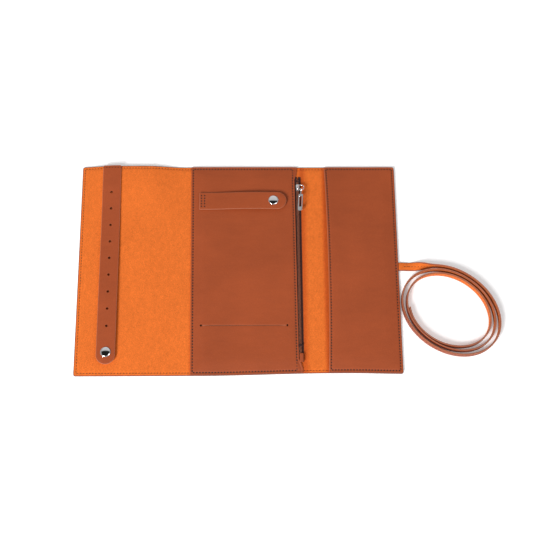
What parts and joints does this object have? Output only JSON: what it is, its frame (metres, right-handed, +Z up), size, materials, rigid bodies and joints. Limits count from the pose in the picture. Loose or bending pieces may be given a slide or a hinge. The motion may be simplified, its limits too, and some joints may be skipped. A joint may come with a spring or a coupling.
{
  "type": "leather jewellery case",
  "caption": "Fold-over leather jewellery case, open: suede-lined wings, zip pocket, slip pocket, snap strap for rings, pierced strap for ear studs, coiled tie.",
  "frame": {"origin": "middle of the open case, on the surface it lies on", "axes": "+X across the fold lines towards the tie strap, +Y along the fold lines towards the edge that holds the pierced strap, +Z up"},
  "size_m": [0.4385, 0.23, 0.0114],
  "materials": {
    "leather": "smooth tan leather with a fine grain and a soft semi-matt finish",
    "suede": "matt orange suede with a short nap",
    "divider_cloth": "plain woven brown lining cloth",
    "zip_tape": "woven dark brown zip tape",
    "zip_coil": "dark brown nylon coil",
    "polished_metal": "polished nickel",
    "thread": "twisted brown sewing thread"
  },
  "bodies": {
    "centre": {"outer_centre": "leather", "lining_centre": "suede", "centre_pocket": "leather", "centre_pocket_hem": "leather", "pocket_divider": "divider_cloth", "zip_tape_left": "zip_tape", "zip_tape_right": "zip_tape", "zip_coil_left": "zip_coil", "zip_coil_right": "zip_coil", "zip_top_stop_left": "polished_metal", "zip_top_stop_right": "polished_metal", "zip_bottom_stop": "polished_metal", "zip_end_tab": "leather", "ring_strap_anchor": "leather", "seam_ring_strap": "thread", "ring_snap_stud": "polished_metal", "ring_snap_post": "polished_metal", "seam_centre_pocket": "thread"},
    "left_spine": {"outer_left_spine": "leather", "lining_left_spine": "suede", "seam_left_spine_top": "thread", "seam_left_spine_bottom": "thread"},
    "left_wing": {"outer_left_wing": "leather", "lining_left_wing": "suede", "stud_strap_anchor": "leather", "stud_snap_stud": "polished_metal", "stud_snap_post": "polished_metal", "seam_left_wing": "thread"},
    "right_spine": {"outer_right_spine": "leather", "lining_right_spine": "suede", "seam_right_spine_top": "thread", "seam_right_spine_bottom": "thread"},
    "right_wing": {"outer_right_wing": "leather", "lining_right_wing": "suede", "right_pocket": "leather", "right_pocket_hem_top": "leather", "right_pocket_hem_bottom": "leather", "tie_tail": "leather", "seam_right_pocket": "thread"},
    "ring_strap": {"ring_strap": "leather", "ring_strap_backing": "suede", "ring_snap_cap": "polished_metal", "ring_snap_socket": "polished_metal"},
    "stud_strap": {"stud_strap": "leather", "stud_strap_backing": "suede", "stud_snap_cap": "polished_metal", "stud_snap_socket": "polished_metal"},
    "zip_slider": {"zip_slider": "polished_metal"},
    "zip_ring": {"zip_ring": "polished_metal"},
    "zip_pull": {"zip_pull": "polished_metal"},
    "tie": {"tie_lead": "leather", "tie_coil": "leather"}
  },
  "joints": [
    {"name": "left_fold", "type": "hinge", "parent": "centre", "child": "left_spine", "pos_m": [-0.0503, 0, 0.003], "axis": [0, 1, 0], "range_deg": [0, 90]},
    {"name": "left_fold_outer", "type": "hinge", "parent": "left_spine", "child": "left_wing", "pos_m": [-0.0618, 0, 0.003], "axis": [0, 1, 0], "range_deg": [0, 90]},
    {"name": "right_fold", "type": "hinge", "parent": "centre", "child": "right_spine", "pos_m": [0.07, 0, 0.003], "axis": [0, -1, 0], "range_deg": [0, 90]},
    {"name": "right_fold_outer", "type": "hinge", "parent": "right_spine", "child": "right_wing", "pos_m": [0.0913, 0, 0.003], "axis": [0, -1, 0], "range_deg": [0, 90]},
    {"name": "ring_strap_lift", "type": "hinge", "parent": "centre", "child": "ring_strap", "pos_m": [-0.034, 0.0735, 0.0068], "axis": [0, 1, 0], "range_deg": [-120, 0]},
    {"name": "stud_strap_lift", "type": "hinge", "parent": "left_wing", "child": "stud_strap", "pos_m": [-0.1357, 0.11, 0.0044], "axis": [1, 0, 0], "range_deg": [-120, 0]},
    {"name": "zip_slide", "type": "slide", "parent": "centre", "child": "zip_slider", "axis": [0, -1, 0], "range_m": [0, 0.165]},
    {"name": "zip_ring_swing", "type": "hinge", "parent": "zip_slider", "child": "zip_ring", "pos_m": [0.0646, 0.088, 0.0082], "axis": [0, 1, 0], "range_deg": [-90, 0]},
    {"name": "zip_pull_swing", "type": "hinge", "parent": "zip_ring", "child": "zip_pull", "pos_m": [0.0664, 0.08443, 0.01001], "axis": [1, 0, 0], "range_deg": [-90, 0]},
    {"name": "tie_flex", "type": "hinge", "parent": "right_wing", "child": "tie", "pos_m": [0.168, 0.0008, 0.0044], "axis": [0, 1, 0], "range_deg": [-80, 0]}
  ],
  "couplings": [
    {"joint": "left_fold_outer", "follows": "left_fold", "ratio": 1},
    {"joint": "right_fold_outer", "follows": "right_fold", "ratio": 1}
  ]
}
